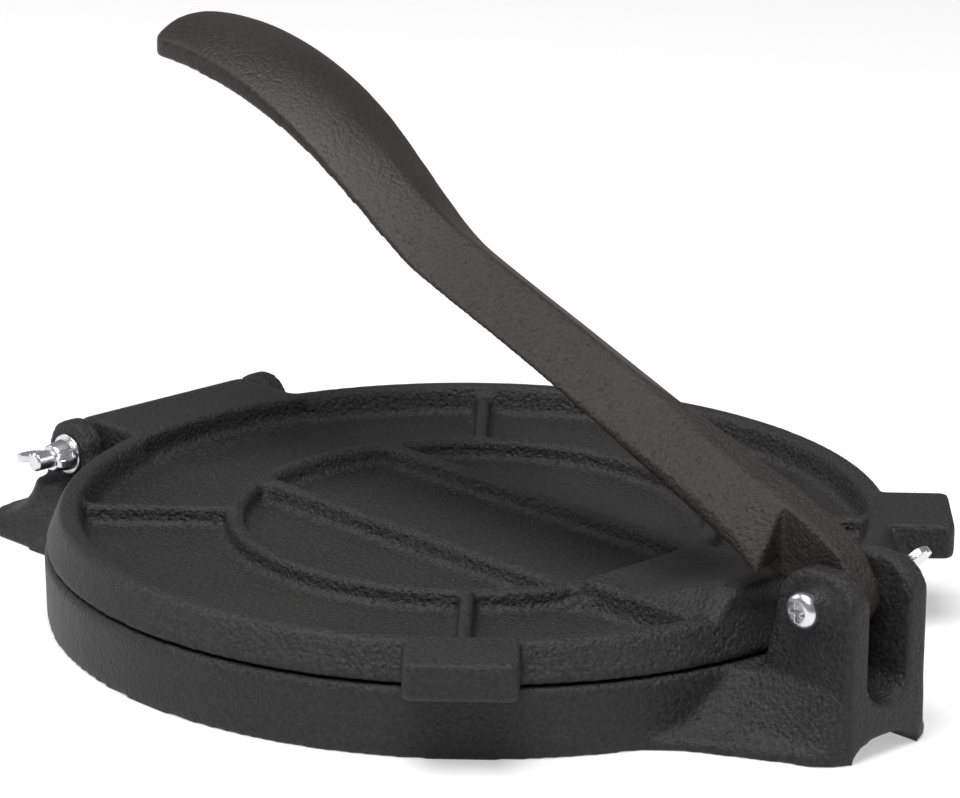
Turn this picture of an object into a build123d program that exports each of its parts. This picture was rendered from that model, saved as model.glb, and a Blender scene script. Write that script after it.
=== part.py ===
from build123d import *

import os
from math import cos, radians, sin

os.makedirs("parts", exist_ok=True)

# Driving dimensions, in millimetres. The base disc is centred on the origin and stands on z = 0,
# the hinge is at -X and the lever's yoke at +X.

# base disc
disc_radius = 110.0
disc_height = 18.0
skirt_draft = 0.5
skirt_wall = 6.0
disc_wall = 6.5
base_rib_width = 5.0
base_rib_ring = 52.0
base_rib_low = 2.0

# hinge between the two plates
hinge_x = -121.0
hinge_z = 20.0
knuckle_radius = 8.5
knuckle_half = 28.2
ear_inner = 29.5
ear_outer = 36.0
foot_x = -122.0
foot_y = 37.5
foot_radius = 20.0

# yoke that carries the lever
yoke_start = 112.5
yoke_end = 142.0
yoke_half = 13.5
slot_half = 6.75
slot_floor = 13.0
slot_round = 5.0
arch_half = 11.5
arch_height = 5.0
lever_x = 127.5
lever_z = 35.8

# bolts: M5 shanks that turn in clear bores
shank_radius = 2.5
bore_radius = 2.55
head_radius = 4.6
head_height = 3.4
recess_length = 5.0
recess_width = 1.2
recess_depth = 1.6
washer_radius = 5.5
washer_bore = 2.75
washer_height = 1.0
nut_radius = 4.6
nut_height = 6.5

# top plate
plate_under = 18.4
plate_floor = 21.0
rib_top = 26.1
rim_top = 28.5
rim_radius = 106.0
rim_width = 4.8
rib_draft = 8.0
ring_radius = 63.3
ring_width = 4.2
radial_rib_width = 3.0
chord_inner = 20.0
chord_outer = 24.1
tab_radius = 122.25
tab_width = 27.6
tab_start = 98.0
pad_end = 104.5
pad_top = 34.5

# lever
strap_half = 13.5
strap_thick = 4.2
web_half = 4.5
nose_radius = 7.3
slope = 0.367
slope_zero = 87.6


def strap_top(x):
    """Height of the straight strap's top face at x."""
    return slope_zero - slope * x


# ---------------------------------------------------------------- base
with BuildPart() as base:
    # drafted disc with a hollow underside
    with BuildSketch(Plane.XZ):
        skirt_foot = disc_radius - skirt_draft
        with BuildLine():
            Polyline(
                (0, disc_height),
                (disc_radius, disc_height),
                (skirt_foot, 0),
                (skirt_foot - skirt_wall, 0),
                (skirt_foot - skirt_wall - 1.5, disc_height - disc_wall),
                (0, disc_height - disc_wall),
                (0, disc_height),
            )
        make_face()
        fillet(vertices().sort_by(Axis.X)[-1], radius=1.2)
    revolve(axis=Axis.Z)

    # ribs under the disc: a cross and a ring
    with BuildSketch(Plane.XY.offset(base_rib_low)):
        Circle(base_rib_ring)
        Circle(base_rib_ring - base_rib_width, mode=Mode.SUBTRACT)
        Rectangle(2 * (disc_radius - 5), base_rib_width)
        Rectangle(base_rib_width, 2 * (disc_radius - 5))
    extrude(amount=disc_height - disc_wall - base_rib_low + 1)

    # yoke block: a flared foot that narrows upwards, lofted between plan outlines
    outlines = (
        (0.0, 50.0, 31.5, 22.0, 11.0),
        (2.4, 50.0, 31.5, 22.0, 11.0),
        (5.0, 43.0, 25.5, 18.5, 13.0),
        (disc_height - 1.0, 33.0, 15.0, 14.0, 13.5),
    )
    for (z0, *low), (z1, *high) in zip(outlines, outlines[1:]):
        for z, (w0, w1, w2, w3) in ((z0, low), (z1, high)):
            with BuildSketch(Plane.XY.offset(z)):
                with BuildLine():
                    Polyline((97, w0), (88, w0), (88, -w0), (97, -w0))
                    ThreePointArc((97, -w0), (104.5, -0.62 * w1 - 0.38 * w0), (114, -w1))
                    Line((114, -w1), (131, -w2))
                    ThreePointArc((131, -w2), (138.5, -0.62 * w2 - 0.38 * w3), (yoke_end, -w3))
                    Line((yoke_end, -w3), (yoke_end, w3))
                    ThreePointArc((yoke_end, w3), (138.5, 0.62 * w2 + 0.38 * w3), (131, w2))
                    Line((131, w2), (114, w1))
                    ThreePointArc((114, w1), (104.5, 0.62 * w1 + 0.38 * w0), (97, w0))
                make_face()
        loft(ruled=True)

    # cheeks of the yoke
    with BuildSketch(Plane.XZ.offset(-yoke_half)):
        with BuildLine():
            Polyline((yoke_start, 10), (113.5, disc_height), (116.5, 30.3), (118.1, 38.8))
            ThreePointArc((118.1, 38.8), (121.6, 43.4), (130.5, 45.6))
            ThreePointArc((130.5, 45.6), (138.6, 44.0), (yoke_end, 39.5))
            Polyline((yoke_end, 39.5), (yoke_end, 10), (yoke_start, 10))
        make_face()
    extrude(amount=2 * yoke_half)

    # slot for the lever's web, with a round floor
    with BuildSketch(Plane.YZ.offset(yoke_start - 1.0)):
        with BuildLine():
            Line((-slot_half, 60), (-slot_half, slot_floor + slot_round))
            ThreePointArc(
                (-slot_half, slot_floor + slot_round),
                (0, slot_floor),
                (slot_half, slot_floor + slot_round),
            )
            Polyline((slot_half, slot_floor + slot_round), (slot_half, 60), (-slot_half, 60))
        make_face()
    extrude(amount=40, mode=Mode.SUBTRACT)

    # arch between the two lobes of the yoke's foot
    with BuildSketch(Plane.YZ.offset(124.0)):
        Ellipse(arch_half, arch_height)
    extrude(amount=30, mode=Mode.SUBTRACT)

    # hinge ears, each on a round flared foot
    for side in (-1, 1):
        with BuildSketch(Plane.XZ.offset(-side * ear_outer)):
            with BuildLine():
                Polyline((-100.0, 0.0), (-133.0, 0.0), (-132.6, 8.0), (-130.6, 14.0))
                ThreePointArc((-130.6, 14.0), (-129.7, 17.5), (-129.5, 20.5))
                ThreePointArc((-129.5, 20.5), (hinge_x, 29.0), (-112.5, 20.5))
                Polyline((-112.5, 20.5), (-110.5, 17.0), (-100.0, 16.0), (-100.0, 0.0))
            make_face()
        extrude(amount=side * (ear_outer - ear_inner))
        with BuildSketch(Plane.XZ.offset(-side * foot_y)):
            with BuildLine():
                Polyline((foot_x, 0), (foot_x + foot_radius, 0), (foot_x + foot_radius, 2.2))
                ThreePointArc(
                    (foot_x + foot_radius, 2.2),
                    (foot_x + 11.5, 5.2),
                    (foot_x + 7.0, 13.0),
                )
                Polyline((foot_x + 7.0, 13.0), (foot_x, 13.0), (foot_x, 0))
            make_face()
        revolve(axis=Axis((foot_x, side * foot_y, 0), (0, 0, 1)))

    # bores for the hinge bolt and the lever's bolt
    with Locations(
        Plane(origin=(hinge_x, 0, hinge_z), z_dir=(0, 1, 0)),
        Plane(origin=(lever_x, 0, lever_z), z_dir=(0, 1, 0)),
    ):
        Hole(bore_radius)
base.part.label = "base"
export_step(base.part, "parts/base.step")


# ---------------------------------------------------------------- top plate
# knuckle: rounded over the hinge bolt and rounded in plan
with BuildPart() as knuckle:
    with BuildSketch(Plane.XZ.offset(-knuckle_half)):
        with BuildLine():
            ThreePointArc(
                (hinge_x, hinge_z + knuckle_radius),
                (hinge_x - knuckle_radius, hinge_z),
                (hinge_x, hinge_z - knuckle_radius),
            )
            ThreePointArc(
                (hinge_x, hinge_z - knuckle_radius),
                (hinge_x + knuckle_radius * 0.6, hinge_z - knuckle_radius * 0.8),
                (hinge_x + knuckle_radius * 0.96, plate_under - 0.8),
            )
            Polyline(
                (hinge_x + knuckle_radius * 0.96, plate_under - 0.8),
                (hinge_x + 9.0, plate_under),
                (-96.0, plate_under),
                (-96.0, rim_top),
                (hinge_x, hinge_z + knuckle_radius),
            )
        make_face()
    extrude(amount=2 * knuckle_half)
    with BuildSketch():
        with Locations((hinge_x - knuckle_radius + 30, 0)):
            RectangleRounded(60, 2 * knuckle_half, radius=5.0)
    extrude(amount=rim_top, mode=Mode.INTERSECT)

with BuildPart() as top_plate:
    # plate with its raised rim, the outer wall flaring down to the seam
    with BuildSketch(Plane.XZ):
        rim_inner = rim_radius - rim_width
        with BuildLine():
            Polyline(
                (0, plate_under),
                (disc_radius, plate_under),
                (rim_radius, rim_top),
                (rim_inner, rim_top),
                (rim_inner - 2.0, plate_floor),
                (0, plate_floor),
                (0, plate_under),
            )
        make_face()
        fillet(vertices().group_by(Axis.Y)[-1], radius=1.4)
        fillet(vertices().sort_by(Axis.X)[-1], radius=0.9)
    revolve(axis=Axis.Z)

    # ring and the two straight ribs across it
    rib_foot = plate_floor - 0.6
    with BuildSketch(Plane.XY.offset(rib_foot)):
        Circle(ring_radius + 0.7)
        Circle(ring_radius - ring_width - 0.7, mode=Mode.SUBTRACT)
    extrude(amount=rib_top - rib_foot, taper=rib_draft)
    for side in (-1, 1):
        with BuildSketch(Plane.XY.offset(rib_foot)):
            with Locations((0, side * (chord_inner + chord_outer) / 2)):
                Rectangle(2 * 57.0, chord_outer - chord_inner + 3.4)
        extrude(amount=rib_top - rib_foot, taper=18)

    # radial ribs from the ring to the rim, and the lift tabs beyond two of them
    for angle in (45, 135, 225, 315):
        radial = Plane.XY.offset(rib_foot).rotated((0, 0, angle))
        with BuildSketch(radial):
            with Locations(((ring_radius + rim_radius) / 2 - 2, 0)):
                Rectangle(rim_radius - ring_radius + 1, radial_rib_width + 1.6)
        extrude(amount=rib_top - rib_foot, taper=rib_draft)
    for angle in (45, -45):
        with BuildSketch(Plane.XY.offset(plate_under + 0.6).rotated((0, 0, angle))):
            with Locations(((tab_start + tab_radius) / 2, 0)):
                RectangleRounded(tab_radius - tab_start, tab_width, radius=2.5)
            Circle(rim_radius - 2.0, mode=Mode.SUBTRACT)
        extrude(amount=rim_top - plate_under - 0.6)

    # pad under the lever: a wedge that rises from the ring to the rim
    for z, back, half in ((plate_floor - 0.4, 58.0, 28.0), (pad_top, 85.0, 13.0)):
        with BuildSketch(Plane.XY.offset(z)):
            with Locations(((back + pad_end) / 2, 0)):
                Rectangle(pad_end - back, 2 * half)
    loft(ruled=True)

    # hinge knuckle and its bore
    add(knuckle.part)
    with Locations(Plane(origin=(hinge_x, 0, hinge_z), z_dir=(0, 1, 0))):
        Hole(bore_radius)
top_plate.part.label = "top_plate"
export_step(top_plate.part, "parts/top_plate.step")


# ---------------------------------------------------------------- lever
# x, height at the edges, height on the crown
gable = (
    (-8.0, strap_top(-8.0), strap_top(-8.0) + 0.5),
    (60.0, strap_top(60.0), strap_top(60.0) + 0.5),
    (73.0, 61.2, 65.4),
    (86.0, 57.4, 63.6),
    (99.0, 49.8, 60.0),
    (111.0, 40.6, 56.4),
)
# x, half width, height of the bottom face, height of the edge, rise of the crown
grip = (
    (-8.0, 13.5, 86.3, 90.5, 0.5),
    (-19.0, 13.6, 92.5, 97.4, 0.9),
    (-32.0, 14.4, 101.0, 106.0, 1.6),
    (-46.0, 15.6, 111.0, 116.2, 2.3),
    (-61.0, 16.5, 119.4, 125.2, 3.0),
    (-77.0, 16.8, 125.4, 131.6, 3.4),
    (-93.0, 16.8, 128.8, 135.4, 3.4),
    (-109.5, 16.4, 129.8, 136.0, 3.0),
)

with BuildPart() as lever:
    # strap whose sides fold down towards the pivot
    for x, edge, crown in gable:
        with BuildSketch(Plane.YZ.offset(x)):
            with BuildLine():
                Polyline(
                    (-strap_half, edge - strap_thick),
                    (-strap_half, edge),
                    (-web_half, crown),
                    (web_half, crown),
                    (strap_half, edge),
                    (strap_half, edge - strap_thick),
                    (web_half, crown - strap_thick - 0.4),
                    (-web_half, crown - strap_thick - 0.4),
                    (-strap_half, edge - strap_thick),
                )
            make_face()
    loft(ruled=True)

    # grip: crowned section that widens and levels off
    for x, half, bottom, edge, rise in grip:
        with BuildSketch(Plane.YZ.offset(x)):
            with BuildLine():
                Polyline((half, edge), (half, bottom), (-half, bottom), (-half, edge))
                ThreePointArc((-half, edge), (0, edge + rise), (half, edge))
            make_face()
    loft()

    # web under the strap with the presser, and the nose round the pivot
    with BuildSketch(Plane.XZ.offset(-web_half)):
        with BuildLine():
            Polyline((66.0, 61.5), (73.0, 65.4), (86.0, 63.6), (99.0, 60.0), (111.0, 56.4))
            Spline((111.0, 56.4), (118.8, 53.3), (124.3, 50.6), (129.2, 47.2), (132.4, 42.6))
            ThreePointArc(
                (132.4, 42.6),
                (lever_x + nose_radius, lever_z),
                (lever_x, lever_z - nose_radius),
            )
            ThreePointArc(
                (lever_x, lever_z - nose_radius),
                (lever_x - 0.7 * nose_radius, lever_z - 0.7 * nose_radius),
                (118.0, 35.0),
            )
            Polyline((118.0, 35.0), (108.0, 38.5), (98.0, 38.5))
            ThreePointArc((98.0, 38.5), (91.0, pad_top + 0.4), (84.0, 38.5))
            Polyline((84.0, 38.5), (78.0, 55.0), (66.0, 61.5))
        make_face()
    extrude(amount=2 * web_half)

    # pivot bore, rounded corners of the grip and its top edge
    with Locations(Plane(origin=(lever_x, 0, lever_z), z_dir=(0, 1, 0))):
        Hole(bore_radius)
    tip_edges = faces().sort_by(Axis.X)[0].edges().sort_by(Axis.Y)
    fillet((tip_edges[0], tip_edges[-1]), radius=6.0)
lever.part.label = "lever"
export_step(lever.part, "parts/lever.step")


# ---------------------------------------------------------------- bolts, washers and wing nuts
# each bolt lies along Y: side is where its head sits
for name, x, z, seat, side, length in (
    ("lever_bolt", lever_x, lever_z, yoke_half, -1, 2 * yoke_half + 10.5),
    ("hinge_bolt", hinge_x, hinge_z, ear_outer, 1, 2 * ear_outer + 12.0),
):
    head_plane = Plane(origin=(x, side * seat, z), x_dir=(1, 0, 0), z_dir=(0, side, 0))
    with BuildPart() as bolt:
        with BuildSketch(head_plane):
            Circle(head_radius)
        extrude(amount=head_height)
        fillet(faces().filter_by(Axis.Y).sort_by(Axis.Y)[0 if side < 0 else -1].edges(), radius=2.2)
        with BuildSketch(head_plane.offset(head_height)):
            Rectangle(recess_length, recess_width)
            Rectangle(recess_width, recess_length)
        extrude(amount=-recess_depth, mode=Mode.SUBTRACT)
        with BuildSketch(head_plane):
            Circle(shank_radius)
        extrude(amount=-length)
        chamfer(
            faces().filter_by(Axis.Y).sort_by(Axis.Y)[-1 if side < 0 else 0].edges(), length=0.5
        )
    bolt.part.label = name
    export_step(bolt.part, "parts/" + name + ".step")

# turn is the angle of the wings about the bolt
for name, x, z, seat, side, turn in (
    ("lever", lever_x, lever_z, yoke_half, 1, 55.0),
    ("hinge", hinge_x, hinge_z, ear_outer, -1, 8.0),
):
    seat_plane = Plane(origin=(x, side * seat, z), x_dir=(1, 0, 0), z_dir=(0, side, 0))
    with BuildPart() as washer:
        with BuildSketch(seat_plane):
            Circle(washer_radius)
            Circle(washer_bore, mode=Mode.SUBTRACT)
        extrude(amount=washer_height)
        chamfer(edges().filter_by(GeomType.CIRCLE).group_by(SortBy.RADIUS)[-1], length=0.2)
    washer.part.label = name + "_washer"
    export_step(washer.part, "parts/" + name + "_washer.step")

    with BuildPart() as wing_nut:
        nut_plane = seat_plane.offset(washer_height)
        with BuildSketch(nut_plane):
            Circle(nut_radius)
        extrude(amount=nut_height, taper=6)
        # the wings lean outwards and away from the seat
        across = (cos(radians(turn)), 0, sin(radians(turn)))
        wing_plane = Plane(
            origin=(x, side * (seat + washer_height), z),
            x_dir=across,
            z_dir=(sin(radians(turn)), 0, -cos(radians(turn))),
        )
        rise = 1 if wing_plane.y_dir.Y * side > 0 else -1
        with BuildSketch(wing_plane):
            for hand in (-1, 1):
                with BuildLine():
                    Polyline((hand * 2.8, rise * 1.0), (hand * 4.4, rise * 0.8), (hand * 8.0, rise * 3.6))
                    ThreePointArc(
                        (hand * 8.0, rise * 3.6),
                        (hand * 12.2, rise * 9.0),
                        (hand * 10.2, rise * 12.6),
                    )
                    ThreePointArc(
                        (hand * 10.2, rise * 12.6),
                        (hand * 6.4, rise * 11.0),
                        (hand * 4.0, rise * 6.2),
                    )
                    Polyline((hand * 4.0, rise * 6.2), (hand * 2.8, rise * 6.0), (hand * 2.8, rise * 1.0))
                make_face()
        extrude(amount=1.1, both=True)
        with BuildSketch(nut_plane.offset(-0.5)):
            Circle(bore_radius)
        extrude(amount=nut_height + 1, mode=Mode.SUBTRACT)
    wing_nut.part.label = name + "_wing_nut"
    export_step(wing_nut.part, "parts/" + name + "_wing_nut.step")
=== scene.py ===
import bpy
import math
from mathutils import Matrix, Vector


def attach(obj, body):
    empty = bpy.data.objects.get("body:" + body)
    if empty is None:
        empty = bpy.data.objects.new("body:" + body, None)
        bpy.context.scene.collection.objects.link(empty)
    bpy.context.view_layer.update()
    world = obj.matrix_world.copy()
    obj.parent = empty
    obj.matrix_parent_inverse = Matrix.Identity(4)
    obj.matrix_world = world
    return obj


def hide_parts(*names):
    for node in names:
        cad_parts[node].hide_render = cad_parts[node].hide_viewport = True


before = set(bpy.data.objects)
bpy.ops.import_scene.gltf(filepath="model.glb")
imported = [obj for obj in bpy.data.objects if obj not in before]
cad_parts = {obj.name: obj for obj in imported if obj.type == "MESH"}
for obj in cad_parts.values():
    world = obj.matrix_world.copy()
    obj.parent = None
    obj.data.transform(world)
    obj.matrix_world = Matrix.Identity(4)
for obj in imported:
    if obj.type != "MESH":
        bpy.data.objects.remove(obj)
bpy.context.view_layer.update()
mm = 0.001
leverPivot = (127.5, 35.8)   # x and z of the lever's bolt and of the hinge bolt, in millimetres
hingePivot = (-121.0, 20.0)
print("stage: frame loaded")


photoCamera = {
    "position": (0.8104, -0.7733, 0.3977),
    "target": (-0.06944, 0.06807, 0.026),
    "roll": math.radians(0.58),
    "lens": 172.5,
    "sensorWidth": 36,
    "farthest": 50,
}


def addCamera(settings):
    data = bpy.data.cameras.new("photoCamera")
    data.lens = settings["lens"]
    data.sensor_width = settings["sensorWidth"]
    data.clip_end = settings["farthest"]
    camera = bpy.data.objects.new("photoCamera", data)
    bpy.context.scene.collection.objects.link(camera)
    place = Vector(settings["position"])
    look = (Vector(settings["target"]) - place).to_track_quat("-Z", "Y").to_matrix()
    turn = look @ Matrix.Rotation(settings["roll"], 3, "Z")
    camera.matrix_world = Matrix.Translation(place) @ turn.to_4x4()
    bpy.context.scene.camera = camera


addCamera(photoCamera)
bpy.context.scene.view_settings.view_transform = "Standard"
print("stage: camera")


class Wire:
    # a node's output socket, so that shader sums read as sums

    def __init__(self, finish, socket):
        self.finish = finish
        self.socket = socket

    def math(self, operation, first, second=0.0):
        return self.finish.add("ShaderNodeMath", {"operation": operation}, {0: first, 1: second})

    def __add__(self, other):
        return self.math("ADD", self, other)

    def __radd__(self, other):
        return self.math("ADD", other, self)

    def __sub__(self, other):
        return self.math("SUBTRACT", self, other)

    def __mul__(self, other):
        return self.math("MULTIPLY", self, other)


class Finish:
    # one material while it is being wired

    def __init__(self, name, owner=None):
        self.material = owner or bpy.data.materials.new(name)
        self.material.use_nodes = True
        self.tree = self.material.node_tree
        self.tree.nodes.clear()

    def add(self, kind, settings=None, sockets=None, output=0):
        node = self.tree.nodes.new(kind)
        for key, value in (settings or {}).items():
            if key == "stops":
                ramp = node.color_ramp.elements
                while len(ramp) < len(value):
                    ramp.new(0.5)
                for stop, (position, level) in zip(ramp, value):
                    stop.position = position
                    stop.color = (level, level, level, 1)
            else:
                setattr(node, key, value)
        for key, value in (sockets or {}).items():
            if isinstance(value, Wire):
                self.tree.links.new(value.socket, node.inputs[key])
            else:
                node.inputs[key].default_value = value
        return Wire(self, node.outputs[output])

    def mixColour(self, factor, first, second):
        # of the Mix node's sockets 0 is the factor, 6 and 7 are the colours, and output 2 is a colour
        return self.add(
            "ShaderNodeMix",
            {"data_type": "RGBA", "clamp_factor": True},
            {0: factor, 6: first, 7: second},
            2,
        )

    def surface(self, sockets):
        shader = self.add("ShaderNodeBsdfPrincipled", None, sockets)
        return self.close(shader)

    def close(self, shader, kind="ShaderNodeOutputMaterial"):
        end = self.tree.nodes.new(kind)
        self.tree.links.new(shader.socket, end.inputs["Surface"])
        return self.material


castIron = {
    "dark": (0.0045, 0.0045, 0.0048, 1),
    "light": (0.0300, 0.0298, 0.0292, 1),
    "brown": (0.0230, 0.0175, 0.0140, 1),
    "specular": 0.32,
    "blotchScale": 38.0,
    "grainScale": 950.0,
    "grainDepth": 0.00075,
    "grainStrength": 0.9,
    "pitScale": 570.0,
    "pitShare": 0.35,
    "blotchGloss": 0.2,   # how far blotches and grains change the roughness
    "grainGloss": 0.25,
    "wornLevel": 0.45,   # towards the grip the grain fades to this share, halfway at x = -gripStart metres
    "gripStart": 0.015,
    "gripFade": 22.0,
}
plateLook = {"brownness": 0.08, "roughness": 0.50, "wornGrip": False}
leverLook = {"brownness": 0.75, "roughness": 0.47, "wornGrip": True}


def makeIron(name, settings, look):
    iron = Finish(name)
    place = iron.add("ShaderNodeTexCoord", output="Object")
    blotch = iron.add(
        "ShaderNodeTexNoise", None, {"Vector": place, "Scale": settings["blotchScale"], "Detail": 5.0}
    )
    grain = iron.add(
        "ShaderNodeTexNoise",
        None,
        {"Vector": place, "Scale": settings["grainScale"], "Detail": 4.0, "Roughness": 0.62},
    )
    pits = iron.add(
        "ShaderNodeTexVoronoi", {"feature": "F1"}, {"Vector": place, "Scale": settings["pitScale"]}
    )
    pitMask = iron.add("ShaderNodeValToRGB", {"stops": ((0.0, 0.0), (0.42, 1.0))}, {"Fac": pits})
    # colour: dark iron with lighter specks, and brown patches over it
    speck = iron.add("ShaderNodeValToRGB", {"stops": ((0.40, 0.0), (0.66, 1.0))}, {"Fac": grain})
    body = iron.mixColour(blotch * 0.4 + speck * 0.6 - 0.1, settings["dark"], settings["light"])
    patch = iron.add("ShaderNodeValToRGB", {"stops": ((0.42, 0.0), (0.70, 1.0))}, {"Fac": blotch})
    colour = iron.mixColour((patch * 0.5 + 0.5) * look["brownness"], body, settings["brown"])
    # relief: sand grains and pits, lower where the grip is worn
    height = grain + pitMask * settings["pitShare"]
    if look["wornGrip"]:
        along = iron.add("ShaderNodeSeparateXYZ", None, {"Vector": place})
        worn = iron.add(
            "ShaderNodeValToRGB",
            {"stops": ((0.0, settings["wornLevel"]), (1.0, 1.0))},
            {"Fac": (along + settings["gripStart"]) * settings["gripFade"] + 0.5},
        )
        height = height * worn
    bump = iron.add(
        "ShaderNodeBump",
        None,
        {"Height": height, "Distance": settings["grainDepth"], "Strength": settings["grainStrength"]},
    )
    gloss = (blotch - 0.5) * settings["blotchGloss"]
    return iron.surface(
        {
            "Base Color": colour,
            "Roughness": look["roughness"] + gloss + (grain - 0.5) * settings["grainGloss"],
            "Specular IOR Level": settings["specular"],
            "Normal": bump,
        }
    )


zincCoat = {
    "tone": (0.86, 0.86, 0.88, 1),
    "dull": (0.55, 0.55, 0.57, 1),
    "edgeRadius": 0.0003,
    "spangleScale": 420.0,
    "spangleDepth": 0.00012,
    "smearScale": 130.0,
    "roughness": 0.14,
    "smearGloss": 0.22,
}


def makeZinc(name, settings):
    zinc = Finish(name)
    place = zinc.add("ShaderNodeTexCoord", output="Object")
    spangle = zinc.add(
        "ShaderNodeTexNoise", None, {"Vector": place, "Scale": settings["spangleScale"], "Detail": 3.0}
    )
    smear = zinc.add(
        "ShaderNodeTexNoise", None, {"Vector": place, "Scale": settings["smearScale"], "Detail": 4.0}
    )
    colour = zinc.mixColour(smear, settings["dull"], settings["tone"])
    rounded = zinc.add("ShaderNodeBevel", {"samples": 4}, {"Radius": settings["edgeRadius"]})
    bump = zinc.add(
        "ShaderNodeBump",
        None,
        {"Height": spangle, "Distance": settings["spangleDepth"], "Strength": 0.5, "Normal": rounded},
    )
    return zinc.surface(
        {
            "Base Color": colour,
            "Metallic": 1.0,
            "Roughness": settings["roughness"] + smear * settings["smearGloss"],
            "Normal": bump,
        }
    )


plateIron = makeIron("plateIron", castIron, plateLook)
leverIron = makeIron("leverIron", castIron, leverLook)
zincFinish = makeZinc("brightZinc", zincCoat)
print("stage: materials")


def dress(node, material):
    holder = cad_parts[node]
    holder.data.materials.clear()
    holder.data.materials.append(material)


for node in ("base", "top_plate"):
    dress(node, plateIron)
dress("lever", leverIron)
for node in ("lever_bolt", "lever_washer", "lever_wing_nut", "hinge_bolt", "hinge_washer", "hinge_wing_nut"):
    dress(node, zincFinish)
print("stage: CAD nodes dressed")


def alone(piece):
    # make a piece the only one selected
    bpy.ops.object.select_all(action="DESELECT")
    piece.select_set(True)
    bpy.context.view_layer.objects.active = piece


mergeGap = {"loft": 0.001 * mm, "cadCopy": 0.005 * mm}


def arc(start, middle, end, steps):
    # points along the circle through three points, after the first of them
    (ax, ay), (bx, by), (cx, cy) = start, middle, end
    span = 2 * (ax * (by - cy) + bx * (cy - ay) + cx * (ay - by))
    aa, bb, cc = ax * ax + ay * ay, bx * bx + by * by, cx * cx + cy * cy
    ux = (aa * (by - cy) + bb * (cy - ay) + cc * (ay - by)) / span
    uy = (aa * (cx - bx) + bb * (ax - cx) + cc * (bx - ax)) / span
    radius = math.hypot(ax - ux, ay - uy)
    first = math.atan2(ay - uy, ax - ux)
    sweep = math.atan2(cy - uy, cx - ux) - first
    if (math.atan2(by - uy, bx - ux) - first) % (2 * math.pi) <= sweep % (2 * math.pi):
        sweep = sweep % (2 * math.pi)
    else:
        sweep = sweep % (2 * math.pi) - 2 * math.pi
    turns = [first + sweep * step / steps for step in range(1, steps + 1)]
    return [(ux + radius * math.cos(turn), uy + radius * math.sin(turn)) for turn in turns]


def loft(name, rings):
    # a grid rolled up into rings of points, in millimetres, and closed at both ends
    count = len(rings[0])
    bpy.ops.object.select_all(action="DESELECT")
    bpy.ops.mesh.primitive_grid_add(x_subdivisions=len(rings) - 1, y_subdivisions=count, size=1)
    piece = bpy.context.object
    piece.name = name
    for vertex in piece.data.vertices:
        ring = round((vertex.co.x + 0.5) * (len(rings) - 1))
        place = round((vertex.co.y + 0.5) * count) % count
        vertex.co = Vector(rings[ring][place]) * mm
    bpy.ops.object.mode_set(mode="EDIT")
    bpy.ops.mesh.select_all(action="SELECT")
    bpy.ops.mesh.remove_doubles(threshold=mergeGap["loft"])
    bpy.ops.mesh.select_all(action="SELECT")
    bpy.ops.mesh.fill_holes(sides=0)
    bpy.ops.mesh.select_all(action="SELECT")
    bpy.ops.mesh.normals_make_consistent(inside=False)
    bpy.ops.object.mode_set(mode="OBJECT")
    return piece


def onLevels(name, levels, outline):
    # loft upwards through plan outlines
    return loft(name, [[(x, y, level[0]) for x, y in outline(*level[1:])] for level in levels])


def box(x0, x1, half):
    return [(x0, -half), (x1, -half), (x1, half), (x0, half)]


def mergedCopy(node, name):
    # the CAD node's own form, with its triangles joined up
    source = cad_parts[node]
    mesh = source.data.copy()
    mesh.transform(source.matrix_world)
    mesh.materials.clear()
    piece = bpy.data.objects.new(name, mesh)
    bpy.context.scene.collection.objects.link(piece)
    alone(piece)
    bpy.ops.object.mode_set(mode="EDIT")
    bpy.ops.mesh.select_all(action="SELECT")
    bpy.ops.mesh.remove_doubles(threshold=mergeGap["cadCopy"])
    bpy.ops.object.mode_set(mode="OBJECT")
    return piece


def cut(piece, cutter):
    alone(piece)
    modifier = piece.modifiers.new("cut", "BOOLEAN")
    modifier.operation = "DIFFERENCE"
    modifier.solver = "EXACT"
    modifier.object = cutter
    bpy.ops.object.modifier_apply(modifier="cut")
    bpy.data.objects.remove(cutter)


def joined(piece, others):
    bpy.ops.object.select_all(action="DESELECT")
    for other in others:
        other.select_set(True)
    piece.select_set(True)
    bpy.context.view_layer.objects.active = piece
    bpy.ops.object.join()


def castSkin(piece, settings):
    # soften the joined forms into one casting, as sand leaves it
    alone(piece)
    skin = piece.modifiers.new("skin", "REMESH")
    skin.mode = "VOXEL"
    skin.voxel_size = settings["grid"]
    bpy.ops.object.modifier_apply(modifier="skin")
    ease = piece.modifiers.new("ease", "SMOOTH")
    ease.factor = 0.5
    ease.iterations = settings["easing"]
    bpy.ops.object.modifier_apply(modifier="ease")
    count = sum(len(face.vertices) - 2 for face in piece.data.polygons)
    if count > settings["triangles"]:
        thin = piece.modifiers.new("thin", "DECIMATE")
        thin.ratio = settings["triangles"] / count
        bpy.ops.object.modifier_apply(modifier="thin")
    bpy.ops.object.shade_smooth()


def install(piece, material, node, body):
    piece.data.materials.clear()
    piece.data.materials.append(material)
    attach(piece, body)
    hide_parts(node)


baseCasting = {
    "grid": 0.00105,
    "easing": 5,
    "triangles": 185000,
    # a foot: height, inner half width, then x and half width of its back, corner, side and end
    "foot": (
        (0.0, 27.0, -142.4, 31.5, -133.8, 47.4, -117.0, 57.5, -97.0, 58.5),
        (2.6, 27.0, -141.6, 31.5, -133.0, 46.8, -117.0, 56.8, -97.0, 57.8),
        (5.4, 27.5, -136.6, 31.5, -129.6, 41.8, -117.0, 49.0, -97.0, 53.0),
        (9.5, 29.5, -133.6, 32.0, -127.4, 38.8, -117.0, 43.0, -99.0, 48.0),
        (14.5, 29.5, -130.6, 32.5, -126.2, 36.9, -117.0, 38.6, -101.0, 42.0),
    ),
    "backInset": 3.0,
    "footSteps": 10,
}


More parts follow.
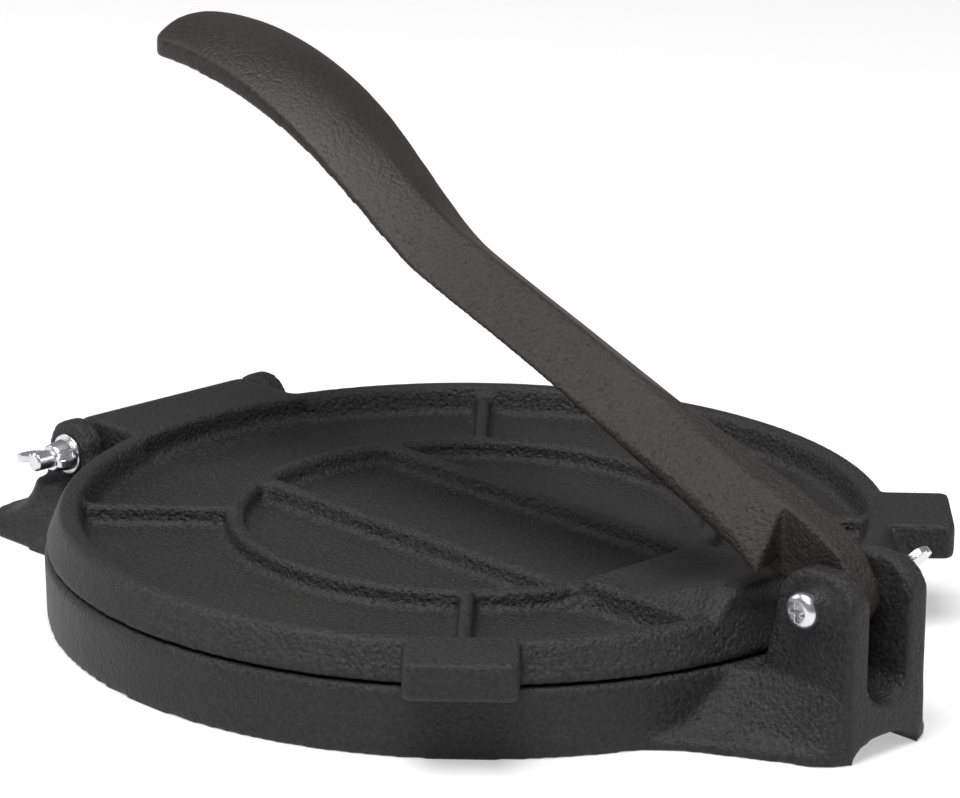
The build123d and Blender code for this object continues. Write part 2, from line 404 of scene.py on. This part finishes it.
def footOutline(settings, side):
    def outline(inner, backX, backY, cornerX, cornerY, sideX, sideY, endX, endY):
        back = (backX, side * backY)
        curve = arc(back, (cornerX, side * cornerY), (sideX, side * sideY), settings["footSteps"])
        innerBack = (backX + settings["backInset"], side * inner)
        return [back] + curve + [(endX, side * endY), (endX, side * inner), innerBack]

    return outline


def buildBase(settings):
    base = mergedCopy("base", "baseCasting")
    feet = [onLevels("foot", settings["foot"], footOutline(settings, side)) for side in (-1, 1)]
    joined(base, feet)
    castSkin(base, settings)
    install(base, plateIron, "base", "stand")


buildBase(baseCasting)
print("stage: base")


topCasting = {
    "grid": 0.00105,
    "easing": 5,
    "triangles": 185000,
    # boxes, each level as height, start, end and half width
    "pad": ((20.6, 58.0, 104.2, 23.0), (28.2, 61.0, 104.2, 21.0)),
    "mound": ((27.6, 76.0, 104.5, 20.0), (34.4, 98.0, 104.5, 12.0)),
    "lowered": ((21.1, 64.4, 97.9, 30.0), (36.0, 64.4, 97.9, 30.0)),
    # what is cut from the hinge slab, so that the rim's circle runs clear in front of it
    "slabLevels": (21.6, 31.0),
    "rimInner": 101.4,
    "slabHalf": 29.5,
    "slabEnd": -94.5,
    "slabSteps": 16,
}


def slabOutline(settings):
    radius, half, steps = settings["rimInner"], settings["slabHalf"], settings["slabSteps"]
    reach = math.degrees(math.asin(half / radius))
    turns = [math.radians(180 - reach + 2 * reach * step / steps) for step in range(steps + 1)]
    inner = [(radius * math.cos(turn), radius * math.sin(turn)) for turn in turns]
    return inner + [(settings["slabEnd"], -half), (settings["slabEnd"], half)]


def buildTop(settings):
    top = mergedCopy("top_plate", "topCasting")
    cut(top, onLevels("lowered", settings["lowered"], box))
    slab = slabOutline(settings)
    cut(top, onLevels("slabCutter", [(level,) for level in settings["slabLevels"]], lambda: slab))
    pad = onLevels("pad", settings["pad"], box)
    mound = onLevels("mound", settings["mound"], box)
    joined(top, [pad, mound])
    castSkin(top, settings)
    install(top, plateIron, "top_plate", "press")


buildTop(topCasting)
print("stage: top plate")


leverCasting = {
    "grid": 0.00062,
    "easing": 9,
    "triangles": 150000,
    "tipRound": 6.0,
    "tipRings": 6,
    "ringStep": 2.5,
    "across": 7,   # steps from a section's edge to its middle
    "webHalf": 4.5,
    "webTop": (
        (70.0, 66.0), (84.0, 64.3), (97.0, 60.0), (111.0, 56.0),
        (118.8, 53.0), (124.3, 50.2), (129.2, 47.0), (132.4, 42.6),
    ),
    "webUnder": ((112.0, 37.6), (104.0, 38.8), (97.0, 41.2), (88.0, 46.0), (76.0, 54.0), (70.0, 58.0)),
    "noseRadius": 7.3,
    "noseLow": 5.2,
    "noseEnd": (118.5, 34.0),
    "bore": 2.55,
    # x, half width, edge height, ridge rise, edge wall, rise of the underside, ridge flat, fullness
    "stations": (
        (-109.5, 16.3, 134.4, 4.0, 4.8, 0.0, 0.0, 2.6),
        (-93.0, 16.7, 133.6, 4.4, 5.2, 0.0, 0.0, 2.4),
        (-77.0, 16.7, 130.2, 4.6, 4.8, 0.0, 0.0, 2.2),
        (-61.0, 16.3, 124.3, 5.0, 3.9, 0.0, 0.0, 2.0),
        (-48.0, 15.6, 117.4, 5.4, 3.1, 0.2, 0.0, 1.8),
        (-35.0, 14.6, 108.4, 6.2, 2.2, 0.8, 0.0, 1.55),
        (-24.0, 13.8, 100.4, 7.2, 1.8, 2.0, 0.0, 1.3),
        (-15.0, 13.5, 94.2, 8.2, 1.6, 3.8, 0.3, 1.12),
        (-8.0, 13.5, 90.5, 8.7, 1.4, 5.1, 0.5, 1.0),
        (30.0, 13.5, 76.6, 8.7, 1.4, 5.1, 0.5, 1.0),
        (57.0, 13.5, 66.7, 8.7, 2.4, 6.1, 0.5, 1.0),
        (70.0, 13.5, 61.9, 8.7, 3.3, 7.0, 2.2, 1.0),
        (84.0, 13.5, 56.8, 8.7, 4.0, 7.7, 3.8, 1.0),
        (97.0, 13.5, 51.2, 9.5, 4.3, 8.0, 4.4, 1.0),
        (105.0, 13.5, 46.6, 11.6, 3.4, 7.0, 4.5, 1.0),
        (111.0, 13.5, 41.2, 14.8, 2.2, 6.0, 4.5, 1.0),
    ),
}


def stationAt(stations, x):
    # smooth curve through the stations' values
    last = len(stations) - 1
    index = 0
    while index < last - 1 and stations[index + 1][0] < x:
        index += 1
    start, end = stations[index], stations[index + 1]
    gap = end[0] - start[0]
    share = (x - start[0]) / gap
    values = []
    for number in range(1, len(start)):
        slopes = []
        for spot in (index, index + 1):
            before, after = stations[max(spot - 1, 0)], stations[min(spot + 1, last)]
            slopes.append((after[number] - before[number]) / (after[0] - before[0]) * gap)
        p, q = start[number], end[number]
        square, cube = share * share, share * share * share
        values.append(
            p * (2 * cube - 3 * square + 1)
            + slopes[0] * (cube - 2 * square + share)
            + q * (3 * square - 2 * cube)
            + slopes[1] * (cube - square)
        )
    return values


def leverRing(settings, x):
    half, edge, rise, wall, under, flat, fullness = stationAt(settings["stations"], x)
    corner, across = settings["tipRound"], settings["across"]
    beyond = settings["stations"][0][0] + corner - x
    if beyond > 0:
        half -= corner - math.sqrt(max(corner * corner - beyond * beyond, 0.0))
    shares = [step / across - 1 for step in range(2 * across + 1)]
    top = []
    for share in shares:
        crown = min(1.0, (1 - abs(share) ** fullness) / (1 - max(flat, 0.0) / half))
        top.append((x, half * share, edge + rise * crown))
    bottom = [(x, -half * share, edge - wall + under * (1 - abs(share))) for share in shares]
    return top + bottom


def leverPlaces(settings):
    # where the lever's rings lie along x: close together round the tip, then evenly
    tip, end = settings["stations"][0][0], settings["stations"][-1][0]
    turns = [math.pi / 2 * step / settings["tipRings"] for step in range(settings["tipRings"] + 1)]
    places = [tip + settings["tipRound"] * (1 - math.cos(turn)) for turn in turns]
    while places[-1] + settings["ringStep"] < end - 1:
        places.append(places[-1] + settings["ringStep"])
    return places + [end]


def webOutline(settings):
    px, pz = leverPivot
    nose, low = settings["noseRadius"], settings["noseLow"]
    front = arc(settings["webTop"][-1], (px + nose, pz), (px, pz - nose), 12)
    back = arc((px, pz - nose), (px - low, pz - low), settings["noseEnd"], 6)
    return list(settings["webTop"]) + front + back + list(settings["webUnder"])


def buildLever(settings):
    lever = loft("leverCasting", [leverRing(settings, place) for place in leverPlaces(settings)])
    outline = webOutline(settings)
    web = loft("web", [[(x, side * settings["webHalf"], z) for x, z in outline] for side in (-1, 1)])
    bpy.ops.object.select_all(action="DESELECT")
    bpy.ops.mesh.primitive_cylinder_add(
        vertices=32,
        radius=settings["bore"] * mm,
        depth=0.03,
        location=(leverPivot[0] * mm, 0, leverPivot[1] * mm),
        rotation=(math.pi / 2, 0, 0),
    )
    cut(web, bpy.context.object)
    joined(lever, [web])
    castSkin(lever, settings)
    install(lever, leverIron, "lever", "handle")


buildLever(leverCasting)
print("stage: lever")


wingNuts = {
    "lever_wing_nut": {"pivot": leverPivot, "seat": 14.5, "side": 1, "turn": 55.0},
    "hinge_wing_nut": {"pivot": hingePivot, "seat": 37.0, "side": -1, "turn": 8.0},
}
wingNutCasting = {
    "grid": 0.00024,
    "easing": 4,
    "triangles": 60000,
    "hub": ((4.4, 0.0), (4.2, 1.6), (3.7, 4.6), (3.4, 5.4)),   # radius, distance from the seat
    "hubSides": 24,
    "wingRoot": ((2.6, 0.9), (4.2, 0.7), (7.2, 2.4)),
    "wingTip": ((10.6, 6.4), (9.4, 9.3), (6.2, 8.4), (3.9, 5.0)),
    "wingEnd": (2.6, 4.8),
    "wingHalf": 1.05,
}


def wingOutline(settings):
    root, (bulge, top, dip, inside) = settings["wingRoot"], settings["wingTip"]
    return list(root) + arc(root[-1], bulge, top, 6) + arc(top, dip, inside, 5) + [settings["wingEnd"]]


def buildWingNut(node, nut, settings):
    side = nut["side"]
    turn = math.radians(nut["turn"])

    def place(across, away, through):
        # across the wings, away from the seat, through the wings' thickness
        x = nut["pivot"][0] + across * math.cos(turn) - through * math.sin(turn)
        z = nut["pivot"][1] + across * math.sin(turn) + through * math.cos(turn)
        return (x, side * (nut["seat"] + away), z)

    def ring(radius, away):
        spokes = [2 * math.pi * step / settings["hubSides"] for step in range(settings["hubSides"])]
        return [place(radius * math.cos(spoke), away, radius * math.sin(spoke)) for spoke in spokes]

    hub = loft(node + "Casting", [ring(radius, away) for radius, away in settings["hub"]])
    depths = (-settings["wingHalf"], settings["wingHalf"])
    wings = []
    for hand in (-1, 1):
        faces = [[place(hand * x, away, depth) for x, away in wingOutline(settings)] for depth in depths]
        wings.append(loft("wing", faces))
    joined(hub, wings)
    castSkin(hub, settings)
    install(hub, zincFinish, node, "stand")


for nutNode, nutPlace in wingNuts.items():
    buildWingNut(nutNode, nutPlace, wingNutCasting)
print("stage: wing nuts")


studio = {
    "floorSize": 8.0,
    "floorColour": (0.86, 0.86, 0.86, 1),
    "floorGlow": 0.45,
    "worldLight": 0.23,
}
# name, position, target, size and power
lamps = (
    ("keyLamp", (0.25, -0.45, 1.5), (0, 0, 0.03), 1.0, 38.0),
    ("fillLamp", (-1.3, -0.6, 0.9), (0, 0, 0.05), 0.9, 6.0),
    ("rimLamp", (1.2, 0.9, 0.7), (0, 0, 0.05), 0.7, 4.0),
)


def addFloor(settings):
    bpy.ops.object.select_all(action="DESELECT")
    bpy.ops.mesh.primitive_plane_add(size=settings["floorSize"], location=(0, 0, 0))
    floor = bpy.context.object
    floor.name = "floor"
    cover = Finish("floorWhite")
    isCamera = cover.add("ShaderNodeLightPath", output="Is Camera Ray")
    isGlossy = cover.add("ShaderNodeLightPath", output="Is Glossy Ray")
    diffuse = cover.add("ShaderNodeBsdfDiffuse", None, {"Color": settings["floorColour"]})
    glow = cover.add("ShaderNodeEmission", None, {"Color": (1, 1, 1, 1), "Strength": 1.0})
    share = isCamera * settings["floorGlow"] + isGlossy * settings["floorGlow"]
    mixed = cover.add("ShaderNodeMixShader", None, {0: share, 1: diffuse, 2: glow})
    floor.data.materials.append(cover.close(mixed))


def addWorld(settings):
    world = bpy.data.worlds.new("studio")
    bpy.context.scene.world = world
    sky = Finish("studio", world)
    isCamera = sky.add("ShaderNodeLightPath", output="Is Camera Ray")
    isClear = sky.add("ShaderNodeLightPath", output="Is Transmission Ray")
    light = sky.add("ShaderNodeBackground", None, {"Color": (1, 1, 1, 1), "Strength": settings["worldLight"]})
    white = sky.add("ShaderNodeBackground", None, {"Color": (1, 1, 1, 1), "Strength": 1.0})
    mixed = sky.add("ShaderNodeMixShader", None, {0: isCamera + isClear, 1: light, 2: white})
    sky.close(mixed, "ShaderNodeOutputWorld")


def addLamp(name, position, target, size, power):
    data = bpy.data.lights.new(name, "AREA")
    data.energy = power
    data.size = size
    lamp = bpy.data.objects.new(name, data)
    bpy.context.scene.collection.objects.link(lamp)
    place = Vector(position)
    turn = (Vector(target) - place).to_track_quat("-Z", "Y").to_matrix().to_4x4()
    lamp.matrix_world = Matrix.Translation(place) @ turn


addFloor(studio)
addWorld(studio)
for lamp in lamps:
    addLamp(*lamp)
print("stage: studio")
